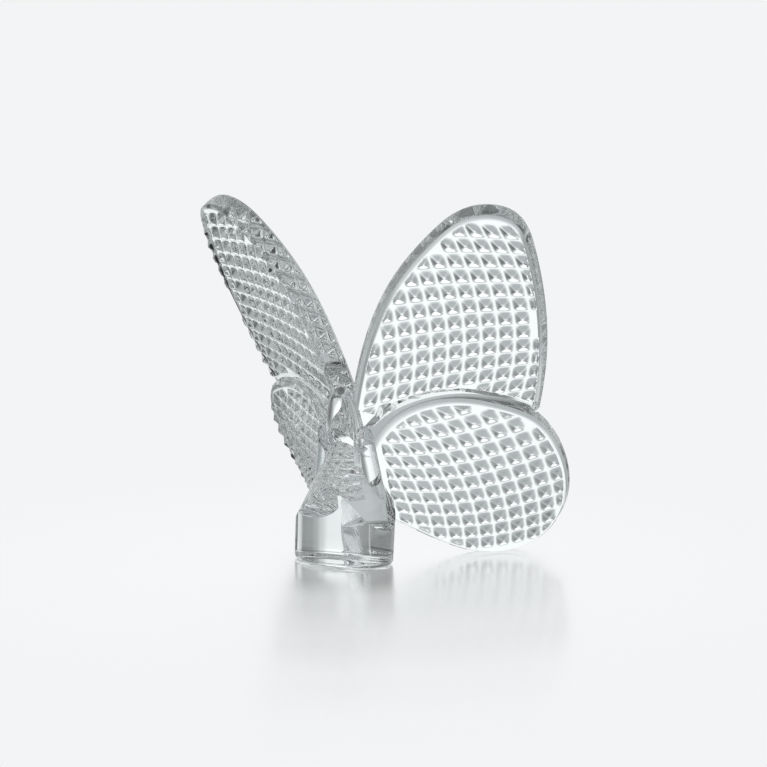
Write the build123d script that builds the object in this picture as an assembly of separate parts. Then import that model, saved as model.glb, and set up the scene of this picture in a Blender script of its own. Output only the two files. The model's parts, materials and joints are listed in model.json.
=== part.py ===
from build123d import *

import math
import os

# Butterfly ornament of clear pressed crystal, standing head up on the cut end of its abdomen and on the
# lower edges of its hindwings. It is one casting, modelled as the six sections that its own creases and
# borders mark off, which meet face to face.
# Millimetres and degrees, +Z up. The butterfly faces -Y and its left wings are on +X. The origin is the
# middle of the flat face under the foot, on the plane that mirrors the two sides.

# Every tool that cuts or trims runs past the section by this much
overrun = 10.0

# Foot: a drafted oval block with a bevel round its flat resting face
foot_half_width = 9.6
foot_half_depth = 6.5
foot_bevel = 0.9
foot_wall_height = 26.0
foot_wall_flare = 0.9
foot_wall_setback = 3.4

# Abdomen: a rounded ridge that runs forward and down from the neck until the foot's wall cuts it off
neck_height = 21.2
neck_half_width = 2.8
neck_half_depth = 2.5
ridge_axis_depth = 2.0
ridge_foot_half_width = 13.0
ridge_foot_half_depth = 14.2

# Thorax and head: a slender hood that leans forward over the top of the abdomen
hood_radius = 3.35
hood_half_length = 10.0
hood_centre_height = 21.0
hood_centre_depth = 0.9
hood_lean = 11.0
hood_rim_height = 21.0
hood_rim_forward = 0.5
hood_rim_slope = 50.0

# Flank: a tapered round rib down each side, between the body and the wing root, that ends in a knob
flank_top = (4.0, 0.6, 22.6)
flank_foot = (7.0, 2.2, 4.5)
flank_top_radius = 1.5
flank_foot_radius = 1.9

# Forewing panel: where its middle lies, how it is turned outward and leaned forward, and its twist. Its
# width is counted outward from the root, which lies a fixed reach inboard of the middle.
fore_middle_across = 21.7
fore_middle_back = 7.2
fore_middle_height = 39.2
fore_splay = 27.9
fore_lean = 23.7
fore_twist = 17.0
fore_height = 48.0
fore_width = 36.0
fore_root_reach = 21.4
fore_root_thickness = 4.6
fore_edge_thickness = 3.2

# Hindwing panel, placed in the same way
hind_middle_across = 18.5
hind_middle_back = 13.6
hind_middle_height = 14.55
hind_splay = 40.8
hind_lean = 16.1
hind_twist = 23.8
hind_height = 29.6
hind_width = 37.0
hind_root_reach = 19.8
hind_root_thickness = 4.8
hind_edge_thickness = 3.0

# Edge of a wing: its wall leans outward by this much, so that the inner face is the larger one
edge_draft = 18.0

# Pyramids: the smooth bands between them and the edges of a wing, and beside the body
fore_band = 0.8
hind_band = 0.7
arch_band = 1.6
root_band = 5.0
flank_band = 0.8

# Pyramids: their height, the flat groove between them as a share of their pitch, how far each is let into
# the panel, and the smallest share of a whole one that is kept at the edge of a field
pyramid_height = 0.8
groove_share = 0.17
pyramid_root = 0.3
least_pyramid_share = 0.25

# Rows of pyramids: pitch, turn of the rows, shear of the columns, and how far each bows over one pitch
fore_pitch = 2.9
fore_row_turn = 7.6
fore_column_turn = 8.1
fore_column_bow = 0.096
fore_row_bow = -0.026
fore_row_fan = 0.031
hind_column_pitch = 2.91
hind_row_pitch = 2.81
hind_row_turn = 15.2
hind_column_turn = 23.6
hind_column_bow = 0.089
hind_row_bow = 0.081
hind_row_fan = -0.074
fore_first_pyramid = (-2.96, 6.74)
hind_first_pyramid = (5.16, 0.39)

# Numbers of columns and rows that are tried on each side of the first pyramid
fore_columns = 6
fore_rows = 9
hind_columns = 8
hind_rows = 8

# Outlines of the outer faces, as shares of the panel's width from its root and of its height from its middle
fore_outline_shares = [
    (0.0, -0.42),
    (0.089, -0.094),
    (0.239, 0.179),
    (0.44, 0.377),
    (0.64, 0.487),
    (0.79, 0.48),
    (0.875, 0.34),
    (0.913, 0.13),
    (0.913, -0.1),
    (0.861, -0.371),
]
hind_outline_shares = [
    (0.0, 0.027),
    (0.051, 0.155),
    (0.146, 0.324),
    (0.292, 0.436),
    (0.457, 0.48),
    (0.627, 0.459),
    (0.786, 0.39),
    (0.911, 0.2),
    (0.978, -0.065),
    (0.95, -0.33),
    (0.82, -0.49),
    (0.622, -0.515),
    (0.422, -0.429),
    (0.238, -0.304),
    (0.076, -0.196),
]


class Panel:
    """A twisted wing panel: its plane, its outline and the height of its outer face."""

    def __init__(self, middle, splay, lean, twist, size, root_reach, thicknesses, outline_shares):
        """Place the panel's plane and keep its sizes."""
        turn, tip = math.radians(splay), math.radians(lean)
        across = Vector(math.cos(turn), math.sin(turn), 0)
        outward = Vector(math.sin(turn) * math.cos(tip), -math.cos(turn) * math.cos(tip), -math.sin(tip))
        self.place = Plane(origin=middle, x_dir=across, z_dir=outward).location
        width, self.height = size
        self.inboard = -root_reach - overrun
        self.outboard = width - root_reach + overrun
        self.twist_rate = math.radians(twist) / self.height
        self.root_thickness, self.edge_thickness = thicknesses
        self.points = [Vector(x * width - root_reach, y * self.height) for x, y in outline_shares]

    def rise(self, x, y):
        """Return how far the twisted outer face stands off the panel's plane."""
        return self.twist_rate * x * y

    def section(self, y):
        """Return the panel's cross-section at one height, from outer face to inner face."""
        inner_root = self.rise(self.inboard, y) - self.root_thickness
        inner_edge = self.rise(self.outboard, y) - self.edge_thickness
        corners = [
            Vector(self.inboard, y, self.rise(self.inboard, y)),
            Vector(self.outboard, y, self.rise(self.outboard, y)),
            Vector(self.outboard, y, inner_edge),
            Vector(self.inboard, y, inner_root),
        ]
        return Wire.make_polygon(corners)

    def outline(self, inward):
        """Return the flat face inside the outline after its curve is moved inward; its root is straight."""
        moved = []
        for k, point in enumerate(self.points):
            before, after = self.points[max(k - 1, 0)], self.points[min(k + 1, len(self.points) - 1)]
            along = (after - before).normalized()
            moved.append(point + Vector(along.Y, -along.X) * inward)
        curve = Edge.make_spline(moved)
        root = Edge.make_line(curve @ 1, curve @ 0)
        return Face(Wire([curve, root]))

    def block(self, inward):
        """Return the block inside the outline moved inward; its wall leans outward towards the inner face."""
        lean = overrun * math.tan(math.radians(edge_draft))
        outer = self.outline(inward + lean).moved(Location((0, 0, overrun)))
        inner = self.outline(inward - lean).moved(Location((0, 0, -overrun)))
        block = Solid.make_loft([inner.outer_wire(), outer.outer_wire()], ruled=True)
        return self.place * block

    def plate(self):
        """Return the wing's smooth plate: the twisted slab inside the block of its outline."""
        slab = Solid.make_loft([self.section(-self.height), self.section(self.height)], ruled=True)
        return (self.place * slab) & self.block(0)

    def field(self, band, trims):
        """Return the flat face that the pyramids fill, in the panel's own frame."""
        face = self.place * self.outline(band)
        for trim in trims:
            face = face - trim
        largest = face.faces().sort_by(SortBy.AREA)[-1]
        return self.place.inverse() * largest


def oval(half_width, half_depth, centre_depth, height):
    """Return a level oval wire."""
    return Wire([Edge.make_ellipse(half_width, half_depth, Plane((0, centre_depth, height)))])


def lattice(first, column, row, row_fan, row_bow, column_bow):
    """Return the function that places the pyramid of a column and a row number on a panel."""

    def place(i, j):
        x = first[0] + column[0] * i + row[0] * j - column_bow * j * j
        y = first[1] + column[1] * i + row[1] * j + row_fan * i * j + row_bow * i * i
        return x, y

    return place


def step_along(pitch, turn):
    """Return the flat step of one pitch in a direction given by its turn from the panel's width."""
    return pitch * math.cos(math.radians(turn)), pitch * math.sin(math.radians(turn))


def pyramid(panel, corners, whole_area):
    """Return the pyramid over a flat polygon of a panel; a small one is lower in keeping."""
    area = Face(Wire.make_polygon(corners)).area
    centre = sum(corners, Vector()) / len(corners)
    share = math.sqrt(min(area / whole_area, 1))
    rise = panel.rise(centre.X, centre.Y)
    apex = Vector(centre.X, centre.Y, rise + pyramid_height * share)
    middle = Vector(centre.X, centre.Y, rise - pyramid_root)
    base = [Vector(c.X, c.Y, panel.rise(c.X, c.Y) - pyramid_root) for c in corners]
    triangles = [[base[k - 1], base[k], end] for k in range(len(base)) for end in (apex, middle)]
    return Solid(Shell([Face(Wire.make_polygon(triangle)) for triangle in triangles]))


def trimmed_corners(corners, field):
    """Return the corners of the part of a polygon that lies inside a field, in order round its middle."""
    inside = Face(Wire.make_polygon(corners)) & field
    if not inside:
        return []
    face = inside.faces().sort_by(SortBy.AREA)[-1]
    middle = face.center()
    return sorted((Vector(*v) for v in face.vertices()), key=lambda v: math.atan2(v.Y - middle.Y, v.X - middle.X))


def pyramid_field(panel, place, field, columns, rows):
    """Return the pyramids inside a field; those that reach over its edge end there."""
    half = (1 - groove_share) / 2
    pyramids = []
    for i in range(-columns, columns + 1):
        for j in range(-rows, rows + 1):
            corners = [Vector(*place(i + a * half, j + b * half)) for a, b in ((-1, -1), (1, -1), (1, 1), (-1, 1))]
            whole_area = Face(Wire.make_polygon(corners)).area
            inside = [field.is_inside(corner) for corner in corners]
            if not any(inside):
                continue
            if not all(inside):
                corners = trimmed_corners(corners, field)
            if Face(Wire.make_polygon(corners)).area > whole_area * least_pyramid_share:
                pyramids.append(panel.place * pyramid(panel, corners, whole_area))
    return pyramids


def foot_wall(margin):
    """Return the foot's drafted oval block with the bevel round its resting face, grown by a margin."""
    sole = foot_half_width - foot_bevel + margin, foot_half_depth - foot_bevel + margin
    low = foot_half_width + margin, foot_half_depth + margin
    high = foot_half_width + foot_wall_flare + margin, foot_half_depth - foot_wall_setback / 2 + margin
    sections = [
        oval(*sole, 0, 0),
        oval(*low, 0, foot_bevel),
        oval(*high, foot_wall_setback / 2, foot_wall_height),
    ]
    return Solid.make_loft(sections, ruled=True)


def ridge():
    """Return the abdomen's rounded ridge, from its foot on the ground up to the neck."""
    sections = [
        oval(ridge_foot_half_width, ridge_foot_half_depth, ridge_axis_depth, 0),
        oval(neck_half_width, neck_half_depth, ridge_axis_depth, neck_height),
    ]
    return Solid.make_loft(sections, ruled=True)


def hood():
    """Return the thorax and head: a slender egg that leans forward."""
    arc = Edge.make_ellipse(
        hood_radius, hood_half_length, Plane.XZ, start_angle=-90, end_angle=90
    )
    profile = Face(Wire([arc, Edge.make_line(arc @ 1, arc @ 0)]))
    egg = Solid.revolve(profile, 360, Axis.Z)
    return egg.moved(Location((0, hood_centre_depth, hood_centre_height), (hood_lean, 0, 0)))


def flank(margin):
    """Return the rib between the body and the left wing root, with its knob, grown by a margin."""
    axis = Vector(*flank_top) - Vector(*flank_foot)
    foot = Plane(origin=flank_foot, z_dir=axis)
    rib = Solid.make_cone(flank_foot_radius + margin, flank_top_radius + margin, axis.length, foot)
    return rib + Solid.make_sphere(flank_top_radius + margin, Plane(flank_top))


def rim_plane():
    """Return the sloping plane of the hood's lower rim, which parts the thorax from the abdomen."""
    slope = math.radians(hood_rim_slope)
    upward = Vector(0, math.sin(slope), math.cos(slope))
    return Plane(origin=(0, -hood_rim_forward, hood_rim_height), z_dir=upward)


def abdomen_foot(ribs):
    """Return the abdomen with the foot that its ridge runs into, up to the hood's rim."""
    lower = (foot_wall(0) & ridge()).fuse(*ribs)
    return split(lower, bisect_by=rim_plane(), keep=Keep.BOTTOM)


def head_thorax(ribs):
    """Return the hood and the tops of the ribs, above the hood's rim."""
    return split(hood().fuse(*ribs), bisect_by=rim_plane(), keep=Keep.TOP)


def wing(plate, trims, pyramids):
    """Return a wing: its plate without what the trims take, with the pyramids raised on it."""
    for trim in trims:
        plate = plate - trim
    return plate.fuse(*pyramids)


def write(name, shape):
    """Write one section to its own file."""
    export_step(Compound(shape.solids()), f"parts/{name}.step")


def main():
    """Build the six sections and write one file for each."""
    os.makedirs("parts", exist_ok=True)
    fore = Panel(
        (fore_middle_across, fore_middle_back, fore_middle_height), fore_splay, fore_lean, fore_twist,
        (fore_width, fore_height), fore_root_reach, (fore_root_thickness, fore_edge_thickness),
        fore_outline_shares,
    )
    hind = Panel(
        (hind_middle_across, hind_middle_back, hind_middle_height), hind_splay, hind_lean, hind_twist,
        (hind_width, hind_height), hind_root_reach, (hind_root_thickness, hind_edge_thickness),
        hind_outline_shares,
    )
    fore_place = lattice(
        fore_first_pyramid, step_along(fore_pitch, fore_row_turn),
        step_along(fore_pitch, fore_column_turn - 90), fore_row_fan, fore_row_bow, fore_column_bow,
    )
    hind_place = lattice(
        hind_first_pyramid, step_along(hind_column_pitch, hind_row_turn),
        step_along(hind_row_pitch, hind_column_turn - 90), hind_row_fan, hind_row_bow, hind_column_bow,
    )
    reach = fore_height + hind_height + overrun
    below = Solid.make_box(reach + reach, reach + reach, reach, Plane((-reach, -reach, -reach)))
    other_side = Solid.make_box(reach, reach + reach, reach + reach, Plane((-reach, -reach, -reach)))
    beside_body = other_side.moved(Location((root_band, 0, 0)))

    ribs = [flank(0), flank(0).mirror(Plane.YZ)]
    body = [abdomen_foot(ribs), head_thorax(ribs)]
    write("abdomen_foot", body[0])
    write("head_thorax", body[1])

    hind_field = hind.field(hind_band, [flank(flank_band), foot_wall(flank_band), beside_body])
    hind_pyramids = pyramid_field(hind, hind_place, hind_field, hind_columns, hind_rows)
    hind_wing = wing(hind.plate(), [below, other_side, *body], hind_pyramids)
    fore_field = fore.field(fore_band, [hind.block(-arch_band), flank(flank_band), beside_body])
    fore_pyramids = pyramid_field(fore, fore_place, fore_field, fore_columns, fore_rows)
    fore_wing = wing(fore.plate(), [hind.block(0), other_side, *body], fore_pyramids)
    for name, left_wing in (("forewing", fore_wing), ("hindwing", hind_wing)):
        write(f"left_{name}", left_wing)
        write(f"right_{name}", left_wing.mirror(Plane.YZ))


main()
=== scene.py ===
"""Butterfly ornament of clear pressed crystal, dressed on its CAD frame in a pale studio."""
import json
import logging
import math
from dataclasses import dataclass, field
from enum import Enum
from typing import Union

import bmesh
import bpy
import numpy as np
from mathutils import Matrix

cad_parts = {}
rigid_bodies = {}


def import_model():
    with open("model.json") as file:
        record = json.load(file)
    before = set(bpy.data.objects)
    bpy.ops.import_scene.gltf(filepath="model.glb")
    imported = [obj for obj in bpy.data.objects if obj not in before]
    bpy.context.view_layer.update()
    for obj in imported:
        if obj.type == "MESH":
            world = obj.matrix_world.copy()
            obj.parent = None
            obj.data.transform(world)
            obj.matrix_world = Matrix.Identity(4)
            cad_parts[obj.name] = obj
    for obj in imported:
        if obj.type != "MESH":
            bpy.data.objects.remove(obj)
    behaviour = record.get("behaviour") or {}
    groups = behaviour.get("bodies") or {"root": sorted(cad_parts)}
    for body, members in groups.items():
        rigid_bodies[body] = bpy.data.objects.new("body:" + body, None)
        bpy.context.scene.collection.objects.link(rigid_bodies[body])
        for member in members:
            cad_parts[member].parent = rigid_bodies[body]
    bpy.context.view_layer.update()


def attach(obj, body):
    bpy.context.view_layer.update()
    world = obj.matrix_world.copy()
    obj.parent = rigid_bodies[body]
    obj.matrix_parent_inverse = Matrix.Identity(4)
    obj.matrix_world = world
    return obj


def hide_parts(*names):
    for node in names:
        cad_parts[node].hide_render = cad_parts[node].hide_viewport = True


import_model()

log = logging.getLogger("butterfly")

MM = 0.001
ROOT = "root"
TURN = 2 * math.pi
TINY = 1e-12  # the least length that is divided by
COOL_TINT = 0.985  # the share of red in the surround's greys

Input = Union[float, tuple, bpy.types.NodeSocket]
Lengths = Union[float, np.ndarray]


class Section(Enum):
    """The sections of the casting; each value is the tag its faces carry through the booleans."""

    head_thorax = 0
    abdomen_foot = 1
    left_forewing = 2
    left_hindwing = 3
    right_forewing = 4
    right_hindwing = 5

    @property
    def opposite(self) -> "Section":
        """Return the right wing's section that matches this left one."""
        return Section[self.name.replace("left", "right")]


class Join(Enum):
    """How two solids are joined."""

    union = "UNION"
    common = "INTERSECT"
    cut = "DIFFERENCE"


def spline(points: np.ndarray, count: int) -> np.ndarray:
    """Sample a natural cubic curve through points.

    Args:
        points: The points that the curve passes through, in order.
        count: How many samples to take.

    Returns:
        The samples, evenly spread over the chord length.
    """
    chord = np.concatenate([[0.0], np.cumsum(np.linalg.norm(np.diff(points, axis=0), axis=1))])
    n = len(points)
    gaps = np.diff(chord)
    system = np.eye(n)
    right = np.zeros_like(points)
    for k in range(1, n - 1):
        system[k, k - 1 : k + 2] = gaps[k - 1], 2 * (gaps[k - 1] + gaps[k]), gaps[k]
        slope_out = (points[k + 1] - points[k]) / gaps[k]
        slope_in = (points[k] - points[k - 1]) / gaps[k - 1]
        right[k] = 6 * (slope_out - slope_in)
    bend = np.linalg.solve(system, right)
    at = np.linspace(0.0, chord[-1], count)
    k = np.clip(np.searchsorted(chord, at, side="right") - 1, 0, n - 2)
    gap = gaps[k][:, None]
    a = (chord[k + 1] - at)[:, None] / gap
    b = 1 - a
    cubic = ((a**3 - a) * bend[k] + (b**3 - b) * bend[k + 1]) * gap**2 / 6
    return a * points[k] + b * points[k + 1] + cubic


def normals_of(loop: np.ndarray) -> np.ndarray:
    """Find the inward normals of an open clockwise line of points.

    Args:
        loop: The points of the line, in order.

    Returns:
        One unit normal for each point.
    """
    along = np.gradient(loop, axis=0)
    along /= np.linalg.norm(along, axis=1)[:, None]
    return np.stack([along[:, 1], -along[:, 0]], axis=1)


def signed_depth(points: np.ndarray, loop: np.ndarray) -> np.ndarray:
    """Measure how deep points lie inside a closed loop.

    Args:
        points: The points, as rows of two coordinates.
        loop: The corners of the closed loop.

    Returns:
        The distance of each point to the loop, negative outside it.
    """
    start, end = loop, np.roll(loop, -1, axis=0)
    edge = end - start
    length2 = np.maximum((edge**2).sum(axis=1), TINY)
    depth = np.full(len(points), np.inf)
    crossings = np.zeros(len(points), dtype=int)
    for s, e, d, l2 in zip(start, end, edge, length2):
        share = np.clip(((points - s) @ d) / l2, 0, 1)
        depth = np.minimum(depth, np.linalg.norm(points - s - share[:, None] * d, axis=1))
        spans = (s[1] > points[:, 1]) != (e[1] > points[:, 1])
        if spans.any():
            x = s[0] + (points[:, 1] - s[1]) * d[0] / (d[1] if d[1] else TINY)
            crossings += spans & (points[:, 0] < x)
    return np.where(crossings % 2 == 1, depth, -depth)


def mesh_object(name: str, points: np.ndarray, faces: list, tag: int) -> bpy.types.Object:
    """Make a closed mesh object from points and faces, with outward normals.

    Args:
        name: Name of the object.
        points: Its points, in millimetres.
        faces: Its faces, as tuples of point numbers.
        tag: The material number that its faces carry.

    Returns:
        The object, linked to the scene.
    """
    mesh = bpy.data.meshes.new(name)
    mesh.from_pydata([tuple(p) for p in points], [], faces)
    work = bmesh.new()
    work.from_mesh(mesh)
    bmesh.ops.recalc_face_normals(work, faces=work.faces)
    work.to_mesh(mesh)
    work.free()
    for section in Section:
        mesh.materials.append(tag_material(section))
    set_tags(mesh, tag)
    solid = bpy.data.objects.new(name, mesh)
    bpy.context.scene.collection.objects.link(solid)
    return solid


def set_tags(mesh: bpy.types.Mesh, tag: int) -> None:
    """Give all faces of a mesh one material number."""
    mesh.polygons.foreach_set("material_index", np.full(len(mesh.polygons), tag, dtype=np.int32))


def tag_material(section: Section) -> bpy.types.Material:
    """Return the placeholder material that marks a section's faces."""
    name = f"tag_{section.name}"
    return bpy.data.materials.get(name) or bpy.data.materials.new(name)


def ring_solid(name: str, rings: list, tag: int) -> bpy.types.Object:
    """Make a closed solid from rings of equal count, with a fan at each end.

    Args:
        name: Name of the object.
        rings: The rings, each an array of points in millimetres.
        tag: The material number that its faces carry.

    Returns:
        The object.
    """
    count = len(rings[0])
    points = np.concatenate(rings + [rings[0].mean(axis=0)[None], rings[-1].mean(axis=0)[None]])
    faces = []
    for r in range(len(rings) - 1):
        low, high = r * count, (r + 1) * count
        pairs = [(k, (k + 1) % count) for k in range(count)]
        faces += [(low + k, low + n, high + n, high + k) for k, n in pairs]
    first, last = len(points) - 2, len(points) - 1
    top = (len(rings) - 1) * count
    faces += [(first, (k + 1) % count, k) for k in range(count)]
    faces += [(last, top + k, top + (k + 1) % count) for k in range(count)]
    return mesh_object(name, points, faces, tag)


def combine(solid: bpy.types.Object, tool: bpy.types.Object, how: Join) -> bpy.types.Object:
    """Apply a boolean to a solid and remove the tool.

    Args:
        solid: The solid that is changed.
        tool: The solid that changes it, which is used up.
        how: Union, common part or cut.

    Returns:
        The changed solid.
    """
    modifier = solid.modifiers.new("join", "BOOLEAN")
    modifier.operation = how.value
    modifier.object = tool
    modifier.solver = "MANIFOLD"
    graph = bpy.context.evaluated_depsgraph_get()
    result = bpy.data.meshes.new_from_object(solid.evaluated_get(graph))
    solid.modifiers.clear()
    solid.data = result
    bpy.data.objects.remove(tool)
    return solid


@dataclass(frozen=True)
class Panel:
    """A twisted wing panel, with the sizes of its CAD solid, in millimetres and degrees."""

    middle: tuple
    splay: float
    lean: float
    twist: float
    size: tuple
    root_reach: float
    thicknesses: tuple
    outline_shares: tuple
    overrun: float = 10.0
    edge_draft: float = 18.0

    def axes(self) -> tuple:
        """Find the panel's own directions.

        Returns:
            The unit vectors across, up and outward.
        """
        turn, tip = math.radians(self.splay), math.radians(self.lean)
        across = np.array([math.cos(turn), math.sin(turn), 0.0])
        outward = np.array(
            [math.sin(turn) * math.cos(tip), -math.cos(turn) * math.cos(tip), -math.sin(tip)]
        )
        return across, np.cross(outward, across), outward

    def rise(self, flat: np.ndarray) -> np.ndarray:
        """Return how far the twisted outer face stands off the plane at flat points."""
        return math.radians(self.twist) / self.size[1] * flat[:, 0] * flat[:, 1]

    def thickness(self, flat: np.ndarray) -> np.ndarray:
        """Find the panel's thickness, which falls evenly from the root to the margin.

        Args:
            flat: Where the points lie on the panel.

        Returns:
            The thickness at each point.
        """
        inboard = -self.root_reach - self.overrun
        outboard = self.size[0] - self.root_reach + self.overrun
        share = (flat[:, 0] - inboard) / (outboard - inboard)
        return self.thicknesses[0] + share * (self.thicknesses[1] - self.thicknesses[0])

    def place(self, flat: np.ndarray, depth: np.ndarray) -> np.ndarray:
        """Place flat points in space.

        Args:
            flat: Where the points lie on the panel.
            depth: How far each lies above the twisted outer face.

        Returns:
            The points, as rows of three coordinates.
        """
        across, up, outward = self.axes()
        high = (self.rise(flat) + depth)[:, None]
        return np.array(self.middle) + flat[:, :1] * across + flat[:, 1:] * up + high * outward

    def outline(self, count: int) -> np.ndarray:
        """Trace the outline of the outer face.

        Args:
            count: How many points to trace.

        Returns:
            An open clockwise line of flat points.
        """
        width, height = self.size
        corners = [(x * width - self.root_reach, y * height) for x, y in self.outline_shares]
        return spline(np.array(corners), count)


@dataclass(frozen=True)
class Lattice:
    """The curved rows and columns that the pyramids stand on, in millimetres and degrees."""

    first: tuple
    column_pitch: float
    row_pitch: float
    row_turn: float
    column_turn: float
    row_fan: float
    row_bow: float
    column_bow: float
    columns: int
    rows: int

    def place(self, i: np.ndarray, j: np.ndarray) -> np.ndarray:
        """Place points that are given by column and row numbers.

        Args:
            i: Column numbers, whole at the pyramids' centres.
            j: Row numbers, likewise.

        Returns:
            Their flat points.
        """
        along, down = math.radians(self.row_turn), math.radians(self.column_turn - 90)
        column, row = self.column_pitch, self.row_pitch
        x = self.first[0] + column * math.cos(along) * i + row * math.cos(down) * j
        y = self.first[1] + column * math.sin(along) * i + row * math.sin(down) * j
        x = x - self.column_bow * j * j
        y = y + self.row_fan * i * j + self.row_bow * i * i
        return np.stack([x, y], axis=-1)


@dataclass
class Wing:
    """One left wing: its plate with bevel and wall, and the pyramids on its face, in millimetres.

    Pairs of sizes hold for its lower and upper edge. Drops are counted from the outer face.
    """

    name: str
    section: Section
    panel: Panel
    lattice: Lattice
    samples: int = 260
    root_samples: int = 24
    # The plate: rings of its caps, bevel, wall and rounded back corner.
    cap_shares: tuple = (0.03, 0.97)
    cap_rings: int = 22
    bevel_rings: int = 8
    wall_rings: int = 24
    corner_rings: int = 6
    face_inset: float = 0.35
    upper_start: float = 0.5
    upper_slope: float = 0.9
    bevel_widths: tuple = (0.3, 0.95)
    bevel_drops: tuple = (0.95, 0.42)
    bevel_power: float = 1.6
    bulge: float = 0.12
    back_corners: tuple = (0.35, 0.6)
    # The cove by which the wall flares out to the neighbour that it stands above.
    cove: "Wing | None" = None
    cove_reach: float = 0.6
    cove_margin: float = 1.5
    cove_limit: float = 3.5
    cove_least: float = 0.2
    cove_fade: float = 0.6
    cove_power: float = 2.2
    # Blocks that follow the outline: inset, lean, height and depth of the one that trims the field.
    block_rings: int = 9
    block_shares: tuple = (0.1, 0.4, 0.7)
    field_trim: tuple = (0.1, 0.0, 3.0, 1.0)
    # The field of pyramids; shares and softness are parts of a cell.
    field_inset: float = 0.25
    field_slope: float = 1.5
    field_floor: float = -0.06
    pyramid_height: float = 0.86
    pyramid_share: float = 0.435
    cell_share: float = 0.49
    roundness: float = 4.6
    apex_softness: float = 0.05
    foot_softness: float = 0.12
    root_band: float = 5.8
    least_height: float = 0.3
    least_depth: float = -0.7
    sink: float = 0.5
    steps: int = 14

    def __post_init__(self) -> None:
        """Take the outline once, with its inward normals."""
        self.line = self.panel.outline(self.samples)
        self.inward = normals_of(self.line)
        self.upper = np.clip(self.upper_start - self.upper_slope * self.inward[:, 1], 0, 1)

    def varied(self, lower_and_upper: tuple) -> np.ndarray:
        """Return a length for each outline point, from its value below and above the wing."""
        return lower_and_upper[0] + (lower_and_upper[1] - lower_and_upper[0]) * self.upper

    def step(self) -> np.ndarray:
        """Measure how high the wing's face stands above the neighbour that it meets.

        Returns:
            The height for each outline point, none away from the neighbour.
        """
        if self.cove is None:
            return np.zeros(len(self.line))
        points = self.panel.place(self.line, np.zeros(len(self.line)))
        flat = seen_on(self.cove.panel, points)
        _, _, outward = self.cove.panel.axes()
        high = (points - np.array(self.cove.panel.middle)) @ outward - self.cove.panel.rise(flat)
        inside = np.clip(signed_depth(flat, self.cove.loop(0)) / self.cove_margin, 0, 1)
        return np.clip(high, 0, self.cove_limit) * inside

    def ring(self, inward: Lengths, drop: Lengths) -> tuple:
        """Lay a closed ring that follows the outline.

        Args:
            inward: How far the ring is moved inward, one length or one for each outline point.
            drop: How far it lies below the outer face, likewise.

        Returns:
            Its flat points and its depths below the outer face.
        """
        count = len(self.line)
        moved = self.line + self.inward * np.broadcast_to(inward, count)[:, None]
        whole = np.column_stack([moved, np.broadcast_to(drop, count)])
        root = np.linspace(whole[-1], whole[0], self.root_samples + 2)[1:-1]
        whole = np.concatenate([whole, root])
        return whole[:, :2], whole[:, 2]

    def loop(self, inward: float) -> np.ndarray:
        """Return the closed outline moved inward."""
        return self.ring(inward, 0.0)[0]

    def growth(self) -> np.ndarray:
        """Return how far the drafted wall stands out at the inner face, for each outline point."""
        return self.panel.thickness(self.line) * math.tan(math.radians(self.panel.edge_draft))

    def plate(self) -> bpy.types.Object:
        """Build the plate: outer face, soft bevel, bulging wall, rounded corner and inner face.

        Returns:
            The plate as one closed solid.
        """
        panel = self.panel
        thick, growth = panel.thickness(self.line), self.growth()
        rings = []
        front = self.loop(self.face_inset)
        least, most = self.cap_shares
        for share in np.linspace(least, most, self.cap_rings):
            flat = front.mean(axis=0) * (1 - share) + front * share
            rings.append(panel.place(flat, np.zeros(len(flat))))
        edge = []
        pairs = (self.bevel_widths, self.bevel_drops, self.back_corners)
        width, fall, back_corner = (self.varied(sizes) for sizes in pairs)
        for share in np.linspace(0, 1, self.bevel_rings):
            edge.append((self.face_inset - width * share, fall * share**self.bevel_power))
        crease = width - self.face_inset
        step = self.step()
        for share in np.linspace(0, 1, self.wall_rings)[1:]:
            out = crease + (growth - crease) * share + self.bulge * math.sin(math.pi * share)
            drop = fall + (thick - back_corner - fall) * share
            down = np.clip((drop - fall) / np.maximum(step - fall, self.cove_least), 0, 1)
            spread = np.clip((step - fall) / self.cove_fade, 0, 1)
            flare = self.cove_reach * spread * down**self.cove_power
            edge.append((-out - flare, drop))
        for angle in np.linspace(0, math.pi / 2, self.corner_rings)[1:]:
            back = back_corner * (1 - math.cos(angle))
            edge.append((back - growth - flare, thick - back_corner * (1 - math.sin(angle))))
        for inward, drop in edge:
            flat, depth = self.ring(inward, drop)
            rings.append(panel.place(flat, -depth))
        inner = flat
        for share in np.linspace(most, least, self.cap_rings):
            flat = inner.mean(axis=0) * (1 - share) + inner * share
            rings.append(panel.place(flat, -panel.thickness(flat)))
        return ring_solid(self.name, rings, self.section.value)

    def block(self, inward: float, lean: float, high: float, low: float) -> bpy.types.Object:
        """Build a solid that follows the outline through the panel.

        Args:
            inward: How far its wall lies inside the outline, at the outer face.
            lean: How much the wall moves outward for each length below the outer face.
            high: Its height above the outer face.
            low: Its depth below the outer face.

        Returns:
            The solid.
        """
        rings = []
        for depth in np.linspace(-high, low, self.block_rings):
            flat, drop = self.ring(inward - lean * depth, depth)
            middle = flat.mean(axis=0)
            cap = [self.panel.place(middle + (flat - middle) * s, -drop) for s in self.block_shares]
            if not rings:
                rings += cap
            rings.append(self.panel.place(flat, -drop))
        rings += cap[::-1]
        return ring_solid(f"{self.name}_block", rings, self.section.value)

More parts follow.
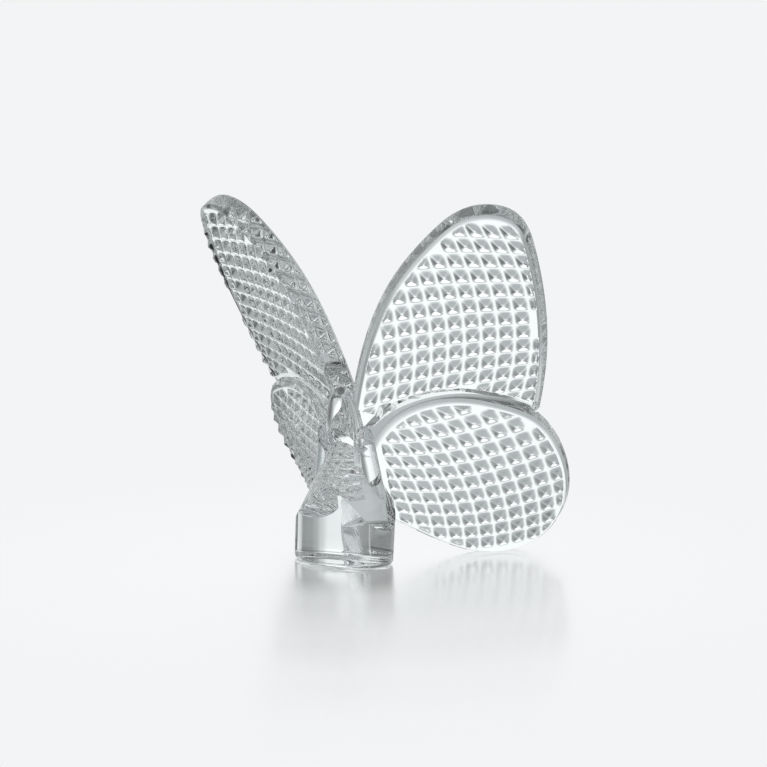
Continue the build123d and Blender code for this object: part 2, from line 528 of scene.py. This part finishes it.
    def relief(self, s: np.ndarray, t: np.ndarray) -> np.ndarray:
        """Shape one pyramid with a soft apex and a soft foot.

        Args:
            s: Where the points lie across their cell, from its middle.
            t: Where they lie along it.

        Returns:
            The pyramid's height at each point.
        """
        soft, power, foot = self.apex_softness, self.roundness, self.foot_softness
        reach = np.sqrt(s * s + soft * soft) ** power + np.sqrt(t * t + soft * soft) ** power
        rise = 1 - reach ** (1 / power) / self.pyramid_share
        border = np.log1p(np.exp((1 - self.cell_share / self.pyramid_share) / foot))
        return self.pyramid_height * foot * (np.log1p(np.exp(rise / foot)) - border)

    def pyramids(self, keep_out: list) -> bpy.types.Object:
        """Build all pyramids of the field as one mesh of separate closed blocks.

        Args:
            keep_out: Pairs of a closed flat loop and a distance that the pyramids keep from it.

        Returns:
            The mesh object.
        """
        lattice, panel = self.lattice, self.panel
        band = self.loop(self.field_inset)
        axis = np.linspace(-self.cell_share, self.cell_share, self.steps + 1)
        s, t = (grid.ravel() for grid in np.meshgrid(axis, axis, indexing="ij"))
        shape = self.relief(s, t)
        rows, faces = [], []
        start = 0
        side = self.steps + 1
        for i in range(-lattice.columns, lattice.columns + 1):
            for j in range(-lattice.rows, lattice.rows + 1):
                centre = lattice.place(np.array([float(i)]), np.array([float(j)]))
                inside = [signed_depth(centre, band)[0]]
                inside += [-signed_depth(centre, loop)[0] - gap for loop, gap in keep_out]
                if min(inside) < self.least_depth:
                    continue
                if panel.place(centre, np.zeros(1))[0, 0] < self.root_band:
                    continue
                flat = lattice.place(i + s, j + t)
                depth = signed_depth(flat, band)
                for loop, gap in keep_out:
                    depth = np.minimum(depth, -signed_depth(flat, loop) - gap)
                height = np.minimum(shape, depth * self.field_slope)
                if height.max() < self.least_height:
                    continue
                height = np.maximum(height, self.field_floor)
                rows.append(panel.place(flat, height))
                rows.append(panel.place(flat, np.full(len(flat), -self.sink)))
                faces += block_faces(start, side)
                start += 2 * side * side
        points, tag = np.concatenate(rows), self.section.value
        blocks = mesh_object(f"{self.name}_pyramids", points, faces, tag)
        return combine(blocks, self.block(*self.field_trim), Join.common)

    def build(self, keep_out: list, trims: list) -> bpy.types.Object:
        """Build the whole left wing as one closed mesh.

        Args:
            keep_out: Pairs of a closed flat loop and a distance that the pyramids keep from it.
            trims: Solids that are cut from the wing, which are used up.

        Returns:
            The mesh object.
        """
        solid = combine(self.plate(), self.pyramids(keep_out), Join.union)
        for trim in trims:
            solid = combine(solid, trim, Join.cut)
        return solid


def block_faces(start: int, side: int) -> list:
    """List the faces of a block whose top and bottom are square grids of points.

    Args:
        start: Number of the block's first point.
        side: Points along each side of the grid.

    Returns:
        The faces, as tuples of point numbers.
    """
    low = start + side * side
    faces = []
    for a in range(side - 1):
        for b in range(side - 1):
            k = a * side + b
            quad = (k, k + 1, k + side + 1, k + side)
            faces.append(tuple(start + q for q in quad))
            faces.append(tuple(low + q for q in reversed(quad)))
    rim = [b for b in range(side)] + [a * side + side - 1 for a in range(1, side)]
    rim += [(side - 1) * side + b for b in range(side - 2, -1, -1)]
    rim += [a * side for a in range(side - 2, 0, -1)]
    for k in range(len(rim)):
        p, q = rim[k - 1], rim[k]
        faces.append((start + p, start + q, low + q, low + p))
    return faces


@dataclass
class Body:
    """The thorax with the head, the abdomen with its foot, and their ribs, in millimetres."""

    points: int = 144
    bevel_rings: int = 8
    wall_rings: int = 12
    ridge_rings: int = 16
    hood_rings: int = 60
    rib_points: int = 48
    rib_rings: int = 10
    ball_rings: int = 10
    foot: tuple = (9.6, 6.5)
    bevel: float = 0.9
    wall_height: float = 26.0
    wall_flare: float = 0.9
    wall_setback: float = 3.4
    neck_height: float = 21.2
    neck: tuple = (2.8, 2.5)
    ridge_depth: float = 2.0
    ridge_foot: tuple = (13.0, 14.2)
    hood_radius: float = 3.35
    hood_half_length: float = 10.0
    hood_centre: tuple = (0.0, 0.9, 21.0)
    hood_lean: float = 11.0
    rim_height: float = 21.0
    rim_forward: float = 0.5
    rim_slope: float = 50.0
    flank_top: tuple = (4.0, 0.6, 22.6)
    flank_foot: tuple = (7.0, 2.2, 4.5)
    flank_radii: tuple = (1.9, 1.5)
    reach: float = 80.0

    def oval(self, half_width: float, half_depth: float, back: float, height: float) -> np.ndarray:
        """Lay a level oval ring.

        Args:
            half_width: Half its size from left to right.
            half_depth: Half its size from front to back.
            back: How far back its middle lies.
            height: How high it lies.

        Returns:
            The ring's points.
        """
        angle = np.linspace(0, TURN, self.points, endpoint=False)
        x, y = half_width * np.cos(angle), back + half_depth * np.sin(angle)
        return np.stack([x, y, np.full(self.points, height)], axis=1)

    def foot_wall(self, tag: int) -> bpy.types.Object:
        """Build the foot's drafted oval block with a rounded lower edge.

        Args:
            tag: The material number that its faces carry.

        Returns:
            The block.
        """
        rings = []
        for angle in np.linspace(0, math.pi / 2, self.bevel_rings):
            inset = self.bevel * (1 - math.sin(angle))
            height = self.bevel * (1 - math.cos(angle))
            rings.append(self.oval(self.foot[0] - inset, self.foot[1] - inset, 0.0, height))
        half = self.wall_setback / 2
        for share in np.linspace(0, 1, self.wall_rings)[1:]:
            height = self.bevel + (self.wall_height - self.bevel) * share
            width, depth = self.foot[0] + self.wall_flare * share, self.foot[1] - half * share
            rings.append(self.oval(width, depth, half * share, height))
        return ring_solid("foot_wall", rings, tag)

    def ridge(self, tag: int) -> bpy.types.Object:
        """Build the abdomen's rounded ridge.

        Args:
            tag: The material number that its faces carry.

        Returns:
            The ridge.
        """
        rings = []
        for share in np.linspace(0, 1, self.ridge_rings):
            width = self.ridge_foot[0] + (self.neck[0] - self.ridge_foot[0]) * share
            depth = self.ridge_foot[1] + (self.neck[1] - self.ridge_foot[1]) * share
            rings.append(self.oval(width, depth, self.ridge_depth, self.neck_height * share))
        return ring_solid("ridge", rings, tag)

    def hood(self, tag: int) -> bpy.types.Object:
        """Build the slender leaning egg of the thorax and head.

        Args:
            tag: The material number that its faces carry.

        Returns:
            The egg.
        """
        rings = []
        for angle in np.linspace(-math.pi / 2, math.pi / 2, self.hood_rings)[1:-1]:
            radius = self.hood_radius * math.cos(angle)
            rings.append(self.oval(radius, radius, 0.0, self.hood_half_length * math.sin(angle)))
        turn = np.array(Matrix.Rotation(math.radians(self.hood_lean), 3, "X"))
        rings = [ring @ turn.T + np.array(self.hood_centre) for ring in rings]
        return ring_solid("hood", rings, tag)

    def rib(self, tag: int) -> bpy.types.Object:
        """Build the left rib: a tapered round rod with a ball on its top.

        Args:
            tag: The material number that its faces carry.

        Returns:
            The rib.
        """
        foot, top = np.array(self.flank_foot), np.array(self.flank_top)
        axis = (top - foot) / np.linalg.norm(top - foot)
        side = np.cross(axis, [0.0, 1.0, 0.0])
        side /= np.linalg.norm(side)
        front = np.cross(axis, side)
        angle = np.linspace(0, TURN, self.rib_points, endpoint=False)
        circle = np.cos(angle)[:, None] * side + np.sin(angle)[:, None] * front
        rings = []
        wide, slim = self.flank_radii
        for share in np.linspace(0, 1, self.rib_rings):
            radius = wide + (slim - wide) * share
            rings.append(foot + (top - foot) * share + circle * radius)
        for tilt in np.linspace(0, math.pi / 2, self.ball_rings)[1:-1]:
            rings.append(top + (circle * math.cos(tilt) + axis * math.sin(tilt)) * slim)
        return ring_solid("rib", rings, tag)

    def half_space(self, above: bool) -> bpy.types.Object:
        """Build the large block on one side of the sloping plane of the hood's rim.

        Args:
            above: Whether it lies above the plane.

        Returns:
            The block.
        """
        slope = math.radians(self.rim_slope)
        height = self.reach if above else -self.reach
        up = np.array([0.0, math.sin(slope), math.cos(slope)]) * height
        back = np.array([0.0, math.cos(slope), -math.sin(slope)]) * self.reach
        side = np.array([self.reach, 0.0, 0.0])
        origin = np.array([0.0, -self.rim_forward, self.rim_height])
        corners = ((-1, -1), (1, -1), (1, 1), (-1, 1))
        base = np.array([origin + a * side + b * back for a, b in corners])
        return ring_solid("half_space", [base, base + up], Section.head_thorax.value)

    def build(self) -> bpy.types.Object:
        """Build thorax, abdomen and ribs.

        Returns:
            One closed mesh with tagged faces.
        """
        head, low = Section.head_thorax.value, Section.abdomen_foot.value
        abdomen = combine(self.foot_wall(low), self.ridge(low), Join.common)
        for solid in (self.rib(low), mirrored(self.rib(low), low)):
            abdomen = combine(abdomen, solid, Join.union)
        abdomen = combine(abdomen, self.half_space(False), Join.common)
        thorax = self.hood(head)
        for solid in (self.rib(head), mirrored(self.rib(head), head)):
            thorax = combine(thorax, solid, Join.union)
        thorax = combine(thorax, self.half_space(True), Join.common)
        return combine(abdomen, thorax, Join.union)


def mirrored(solid: bpy.types.Object, tag: int) -> bpy.types.Object:
    """Turn a left solid into the matching right one.

    Args:
        solid: The left solid, which is changed.
        tag: The material number that its faces then carry.

    Returns:
        The right solid.
    """
    solid.data.transform(Matrix.Scale(-1, 4, (1, 0, 0)))
    solid.data.flip_normals()
    set_tags(solid.data, tag)
    return solid


class Graph:
    """A node tree that is filled in by short calls."""

    def __init__(self, owner: bpy.types.ID) -> None:
        """Empty the node tree of a material or world.

        Args:
            owner: The material or world.
        """
        owner.use_nodes = True
        self.nodes, self.links = owner.node_tree.nodes, owner.node_tree.links
        self.nodes.clear()

    def node(self, kind: str, inputs: dict, **settings: object) -> bpy.types.ShaderNode:
        """Add a node.

        Args:
            kind: Its type without the leading word ShaderNode.
            inputs: Its inputs by name or number, each a value or another node's output.
            settings: Its other settings.

        Returns:
            The node.
        """
        node = self.nodes.new(f"ShaderNode{kind}")
        for name, value in settings.items():
            setattr(node, name, value)
        for name, value in inputs.items():
            if isinstance(value, bpy.types.NodeSocket):
                self.links.new(value, node.inputs[name])
            else:
                node.inputs[name].default_value = value
        return node

    def sum(self, operation: str, first: Input, second: Input = 0.0) -> bpy.types.NodeSocket:
        """Return the output of a sum on one or two numbers."""
        return self.node("Math", {0: first, 1: second}, operation=operation).outputs[0]

    def ramp(self, value: Input, stops: tuple, tint: float = COOL_TINT) -> bpy.types.NodeSocket:
        """Add a soft curve of levels as a faintly cool colour.

        Args:
            value: The number that the curve is read at.
            stops: Pairs of a number and its level, in rising order.
            tint: The share of red in the colour.

        Returns:
            The colour output.
        """
        low, high = stops[0][0], stops[-1][0]
        spread = self.node("MapRange", {"Value": value, "From Min": low, "From Max": high})
        ramp = self.node("ValToRGB", {"Fac": spread.outputs[0]})
        ramp.color_ramp.interpolation = "EASE"
        elements = ramp.color_ramp.elements
        elements.remove(elements[-1])
        for k, (at, level) in enumerate(stops):
            element = elements[0] if k == 0 else elements.new((at - low) / (high - low))
            element.position = (at - low) / (high - low)
            element.color = (level * tint, level, level, 1.0)
        return ramp.outputs["Color"]

    def blend(self, kind: str, share: Input, first: Input, second: Input) -> bpy.types.NodeSocket:
        """Add a blend between two colours.

        Args:
            kind: How the second colour is laid over the first.
            share: How much of it is laid.
            first: The colour underneath.
            second: The colour on top.

        Returns:
            The colour output.
        """
        node = self.node("Mix", {"Factor": share}, data_type="RGBA", blend_type=kind)
        for name, value in (("A", first), ("B", second)):
            socket = next(s for s in node.inputs if s.name == name and s.type == "RGBA")
            if isinstance(value, bpy.types.NodeSocket):
                self.links.new(value, socket)
            else:
                socket.default_value = value
        return next(s for s in node.outputs if s.type == "RGBA")

    def shade(self, share: Input, first: Input, second: Input) -> bpy.types.NodeSocket:
        """Return the output of a mix of two shaders."""
        return self.node("MixShader", {"Fac": share, 1: first, 2: second}).outputs[0]


@dataclass(frozen=True)
class Crystal:
    """Clear fire-polished crystal: nearly colourless, faintly wavy as a pressed surface is."""

    name: str = "crystal_clear"
    color: tuple = (0.955, 0.984, 0.994, 1.0)
    ior: float = 1.545
    roughness: float = 0.012
    wave_scale: float = 160.0
    wave_detail: float = 1.0
    wave_height: float = 0.00003

    def build(self) -> bpy.types.Material:
        """Build the material.

        Returns:
            The material, with its constants on the shader's own sockets.
        """
        material = bpy.data.materials.new(self.name)
        graph = Graph(material)
        place = graph.node("TexCoord", {}).outputs["Object"]
        waves = {"Vector": place, "Scale": self.wave_scale, "Detail": self.wave_detail}
        height = graph.node("TexNoise", waves).outputs["Fac"]
        bumps = {"Height": height, "Distance": self.wave_height, "Strength": 1.0}
        looks = {
            "Base Color": self.color,
            "Normal": graph.node("Bump", bumps).outputs["Normal"],
            "Roughness": self.roughness,
            "IOR": self.ior,
            "Transmission Weight": 1.0,
        }
        shader = graph.node("BsdfPrincipled", looks)
        graph.node("OutputMaterial", {"Surface": shader.outputs[0]})
        return material


@dataclass
class Studio:
    """The pale floor, the surround that the crystal refracts, and the camera, in metres.

    Fades, tones and zones are pairs of a place and a level. The places are metres from the object
    for the gloss, and how far the floor turns away for its tone of painted reflection. For the
    zones
    they are degrees: to either side of the middle of the backdrop for the sides, above the horizon
    for the others.
    """

    paper: tuple = (0.896, 0.904, 0.913, 1.0)
    gloss_fade: tuple = (
        (0.0, 0.76), (0.016, 0.76), (0.032, 0.5), (0.058, 0.33),
        (0.081, 0.13), (0.105, 0.03), (0.13, 0.0),
    )
    gloss_gain: float = 1.045
    floor_roughness: float = 0.2
    # Levels of the floor's painted reflection: the grey glow that rays other than camera rays see,
    # by how far the floor turns away.
    floor_tone: tuple = ((0.0, 0.12), (0.1, 0.12), (0.55, 0.51), (1.0, 0.51))
    floor_tint: float = 0.95
    graze: tuple = (0.60, 0.80)
    graze_roughness: float = 0.1
    floor_half: float = 3.0
    floor_drop: float = 0.00002
    side_zones: tuple = (
        (0, 1.35), (7, 1.35), (13, 0.9), (18, 0.52), (24, 0.36), (38, 0.33), (44, 0.85),
        (56, 1.1), (63, 0.2), (74, 0.03), (94, 0.03), (104, 0.32), (140, 0.5), (180, 0.4),
    )
    backdrop_zones: tuple = ((-90, 1.0), (23, 1.0), (27, 0.12), (90, 0.12))
    backdrop_through: tuple = (
        (-90, 0.47), (8, 0.49), (11, 1.0), (23, 1.0), (27, 0.12), (90, 0.12),
    )
    top_zones: tuple = (
        (-90, 0.0), (0, 0.0), (26, 0.02), (38, 1.3), (58, 1.3), (70, 0.35), (90, 0.2),
    )
    plain_side: float = 50.0
    inner_dimming: float = 0.7
    first_bounce: float = 2.5
    camera_place: tuple = (0.2307, -0.3173, 0.0829)
    camera_tilt: float = 82.5
    camera_turn: float = 35.0
    lens: float = 107.0
    sensor: float = 36.0
    clip_start: float = 0.01
    inner_bounce: float = 0.5
    clear_bounces: int = 24
    glossy_bounces: int = 12

    def floor(self) -> None:
        """Make the pale glossy floor: its reflection of the object fades away from its foot, and to
        other rays it glows grey as a painted reflection.
        """
        h = self.floor_half
        mesh = bpy.data.meshes.new("floor")
        mesh.from_pydata([(-h, -h, 0), (h, -h, 0), (h, h, 0), (-h, h, 0)], [], [(0, 1, 2, 3)])
        floor = bpy.data.objects.new("floor", mesh)
        bpy.context.scene.collection.objects.link(floor)
        floor.location.z = -self.floor_drop
        material = bpy.data.materials.new("floor_gloss")
        graph = Graph(material)
        path = graph.node("LightPath", {})
        place = graph.node("TexCoord", {}).outputs["Object"]
        away = graph.node("VectorMath", {0: place}, operation="LENGTH").outputs["Value"]
        paper = graph.node("Emission", {"Color": self.paper})
        gain = (self.gloss_gain, self.gloss_gain, self.gloss_gain, 1.0)
        gloss = graph.node("BsdfGlossy", {"Roughness": self.floor_roughness, "Color": gain})
        share = graph.ramp(away, self.gloss_fade, tint=1.0)
        seen = graph.shade(share, paper.outputs[0], gloss.outputs[0])
        # Painted reflection: to rays other than camera rays the floor glows grey, darker where it
        # is seen straight on. This glow stands in for the weak reflection of the studio that a
        # glossy floor shows at steep angles. At grazing angles a real mirror takes over.
        facing = graph.node("LayerWeight", {}).outputs["Facing"]
        tone = graph.ramp(facing, self.floor_tone, tint=self.floor_tint)
        grey = graph.node("Emission", {"Color": tone})
        mirror = graph.node("BsdfGlossy", {"Roughness": self.graze_roughness})
        low, high = self.graze
        grazing = graph.node("MapRange", {"Value": facing, "From Min": low, "From Max": high})
        unseen = graph.shade(grazing.outputs[0], grey.outputs[0], mirror.outputs[0])
        both = graph.shade(path.outputs["Is Camera Ray"], unseen, seen)
        graph.node("OutputMaterial", {"Surface": both})
        mesh.materials.append(material)

    def surround(self) -> None:
        """Light the world: a white backdrop, grey sides, dark flags and a light from above."""
        world = bpy.data.worlds.new("studio")
        bpy.context.scene.world = world
        world.cycles.sampling_method = "NONE"
        graph = Graph(world)
        place = graph.node("TexCoord", {}).outputs["Generated"]
        turned = graph.node(
            "Mapping", {"Vector": place, "Rotation": (0.0, 0.0, -math.radians(self.camera_turn))}
        )
        parts = graph.node("SeparateXYZ", {"Vector": turned.outputs[0]}).outputs
        degree = 180 / math.pi
        azimuth = graph.sum("ABSOLUTE", graph.sum("ARCTAN2", parts["X"], parts["Y"]))
        aside = graph.sum("MULTIPLY", azimuth, degree)
        height = graph.sum("MULTIPLY", graph.sum("ARCSINE", parts["Z"]), degree)
        path = graph.node("LightPath", {}).outputs
        backdrop = graph.ramp(height, self.backdrop_zones, tint=1.0)
        through = graph.ramp(height, self.backdrop_through, tint=1.0)
        backdrop = graph.blend("MIX", path["Is Transmission Ray"], backdrop, through)
        sides = graph.blend("MULTIPLY", 1.0, graph.ramp(aside, self.side_zones), backdrop)
        lit = graph.blend("LIGHTEN", 1.0, sides, graph.ramp(height, self.top_zones))
        bounced = graph.sum("GREATER_THAN", path["Glossy Depth"], self.inner_bounce)
        inner = graph.sum("MULTIPLY", bounced, path["Is Transmission Ray"])
        dimmed = graph.sum("SUBTRACT", 1.0, graph.sum("MULTIPLY", inner, 1.0 - self.inner_dimming))
        lit = graph.blend("MULTIPLY", 1.0, lit, dimmed)
        early = graph.sum("LESS_THAN", path["Ray Depth"], self.first_bounce)
        ahead = graph.sum("LESS_THAN", aside, self.plain_side)
        mirrored_first = graph.sum("MULTIPLY", path["Is Glossy Ray"], early)
        mirrored_ahead = graph.sum("MULTIPLY", mirrored_first, ahead)
        plain = graph.sum("MAXIMUM", mirrored_ahead, path["Is Camera Ray"])
        light = graph.node("Background", {"Color": graph.blend("MIX", plain, lit, self.paper)})
        graph.node("OutputWorld", {"Surface": light.outputs[0]})

    def camera(self) -> None:
        """Set the camera at the photograph's place and angle."""
        data = bpy.data.cameras.new("camera")
        data.lens = self.lens
        data.sensor_width = self.sensor
        data.clip_start = self.clip_start
        camera = bpy.data.objects.new("camera", data)
        bpy.context.scene.collection.objects.link(camera)
        camera.location = self.camera_place
        tilt, turn = math.radians(self.camera_tilt), math.radians(self.camera_turn)
        camera.rotation_euler = (tilt, 0.0, turn)
        bpy.context.scene.camera = camera

    def build(self) -> None:
        """Set up floor, surround, camera and the plain view transform."""
        self.floor()
        self.surround()
        self.camera()
        bpy.context.scene.view_settings.view_transform = "Standard"
        cycles = bpy.context.scene.cycles
        cycles.caustics_reflective = False
        cycles.caustics_refractive = False
        cycles.max_bounces = self.clear_bounces
        cycles.transmission_bounces = self.clear_bounces
        cycles.glossy_bounces = self.glossy_bounces


FORE = Panel(
    middle=(21.7, 7.2, 39.2),
    splay=27.9,
    lean=23.7,
    twist=17.0,
    size=(36.0, 48.0),
    root_reach=21.4,
    thicknesses=(4.6, 3.2),
    outline_shares=(
        (0.0, -0.42), (0.089, -0.094), (0.239, 0.179), (0.44, 0.377), (0.64, 0.487),
        (0.79, 0.48), (0.875, 0.34), (0.913, 0.13), (0.913, -0.1), (0.861, -0.371),
    ),
)
HIND = Panel(
    middle=(18.5, 13.6, 14.55),
    splay=40.8,
    lean=16.1,
    twist=23.8,
    size=(37.0, 29.6),
    root_reach=19.8,
    thicknesses=(4.8, 3.0),
    outline_shares=(
        (0.0, 0.027), (0.051, 0.155), (0.146, 0.324), (0.292, 0.436), (0.457, 0.48),
        (0.627, 0.459), (0.786, 0.39), (0.911, 0.2), (0.978, -0.065), (0.95, -0.33),
        (0.82, -0.49), (0.622, -0.515), (0.422, -0.429), (0.238, -0.304), (0.076, -0.196),
    ),
)
FORE_LATTICE = Lattice(
    first=(-2.96, 6.74),
    column_pitch=2.9,
    row_pitch=2.9,
    row_turn=7.6,
    column_turn=8.1,
    row_fan=0.031,
    row_bow=-0.026,
    column_bow=0.096,
    columns=7,
    rows=10,
)
HIND_LATTICE = Lattice(
    first=(5.16, 0.39),
    column_pitch=2.91,
    row_pitch=2.81,
    row_turn=15.2,
    column_turn=23.6,
    row_fan=-0.074,
    row_bow=0.081,
    column_bow=0.089,
    columns=9,
    rows=8,
)


def seen_on(panel: Panel, points: np.ndarray) -> np.ndarray:
    """Find where points in space fall on a panel, straight along its outward axis.

    Args:
        panel: The panel.
        points: The points, as rows of three coordinates.

    Returns:
        Their flat points.
    """
    across, up, _ = panel.axes()
    away = points - np.array(panel.middle)
    return np.stack([away @ across, away @ up], axis=1)


@dataclass
class Casting:
    """The whole casting: body and wings in one skin, parted into the six named sections."""

    body: Body = field(default_factory=Body)
    smooth_angle: float = 28.0
    arch_band: float = 1.9
    rib_band: float = 2.6
    rib_samples: int = 12
    bed_inset: float = 0.3
    bed_reach: float = 10.0
    overlap: float = 0.05

    def other_side(self) -> bpy.types.Object:
        """Build the large block that takes off what a left wing has beyond the middle.

        Returns:
            The block.
        """
        reach, edge = self.body.reach, -self.overlap
        base = np.array([(-reach, -reach), (edge, -reach), (edge, reach), (-reach, reach)])
        rings = [np.column_stack([base, np.full(4, high)]) for high in (-reach, 2 * reach)]
        return ring_solid("other_side", rings, Section.left_forewing.value)

    def build(self) -> list:
        """Build the casting.

        Returns:
            The six shells, in metres.
        """
        fore = Wing("forewing", Section.left_forewing, FORE, FORE_LATTICE, root_band=3.0)
        hind = Wing(
            "hindwing", Section.left_hindwing, HIND, HIND_LATTICE,
            cove=fore, field_inset=0.55, field_slope=1.1,
        )
        arch = HIND.place(hind.loop(0), np.zeros(hind.samples + hind.root_samples))
        arch_on_fore = seen_on(FORE, arch)
        rib_line = np.linspace(self.body.flank_foot, self.body.flank_top, self.rib_samples)
        hind_rib = seen_on(HIND, rib_line)
        fore_rib = seen_on(FORE, rib_line)
        lean = math.tan(math.radians(HIND.edge_draft))
        bed = hind.block(self.bed_inset, lean, self.bed_reach, self.bed_reach)
        wings = []
        for wing, keep_out, trims in (
            (fore, [(arch_on_fore, self.arch_band), (fore_rib, self.rib_band)], [bed]),
            (hind, [(hind_rib, self.rib_band)], []),
        ):
            left = wing.build(keep_out, trims + [self.other_side()])
            right = left.copy()
            right.data = left.data.copy()
            bpy.context.scene.collection.objects.link(right)
            mirrored(right, wing.section.opposite.value)
            wings += [left, right]
            log.info("wing %s: %d faces", wing.name, len(left.data.polygons))
        whole = self.body.build()
        log.info("body: %d faces", len(whole.data.polygons))
        for wing in wings:
            whole = combine(whole, wing, Join.union)
        level = np.array([(-1, -1, 0), (1, -1, 0), (1, 1, 0), (-1, 1, 0)]) * self.body.reach
        deep = level - np.array([0, 0, self.body.reach])
        below = ring_solid("below", [deep, level], Section.abdomen_foot.value)
        whole = combine(whole, below, Join.cut)
        log.info("whole: %d faces", len(whole.data.polygons))
        return self.parted(whole)

    def parted(self, whole: bpy.types.Object) -> list:
        """Part the whole skin into its sections, smooth them and scale them to metres.

        Args:
            whole: The skin, in millimetres, which is used up.

        Returns:
            The six shells.
        """
        material = Crystal().build()
        pieces = []
        whole.data.transform(Matrix.Scale(MM, 4))
        for section in Section:
            work = bmesh.new()
            work.from_mesh(whole.data)
            others = [face for face in work.faces if face.material_index != section.value]
            bmesh.ops.delete(work, geom=others, context="FACES")
            mesh = bpy.data.meshes.new(section.name)
            work.to_mesh(mesh)
            work.free()
            mesh.materials.clear()
            mesh.materials.append(material)
            set_tags(mesh, 0)
            mesh.polygons.foreach_set("use_smooth", np.ones(len(mesh.polygons), dtype=bool))
            mesh.set_sharp_from_angle(angle=math.radians(self.smooth_angle))
            piece = bpy.data.objects.new(f"{section.name}_skin", mesh)
            bpy.context.scene.collection.objects.link(piece)
            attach(piece, ROOT)
            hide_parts(section.name)
            log.info("piece %s: %d faces", piece.name, len(mesh.polygons))
            pieces.append(piece)
        bpy.data.objects.remove(whole)
        return pieces


def main() -> None:
    """Build the casting and the studio."""
    logging.basicConfig(level=logging.INFO)
    Casting().build()
    Studio().build()


if __name__ == "__main__":
    main()
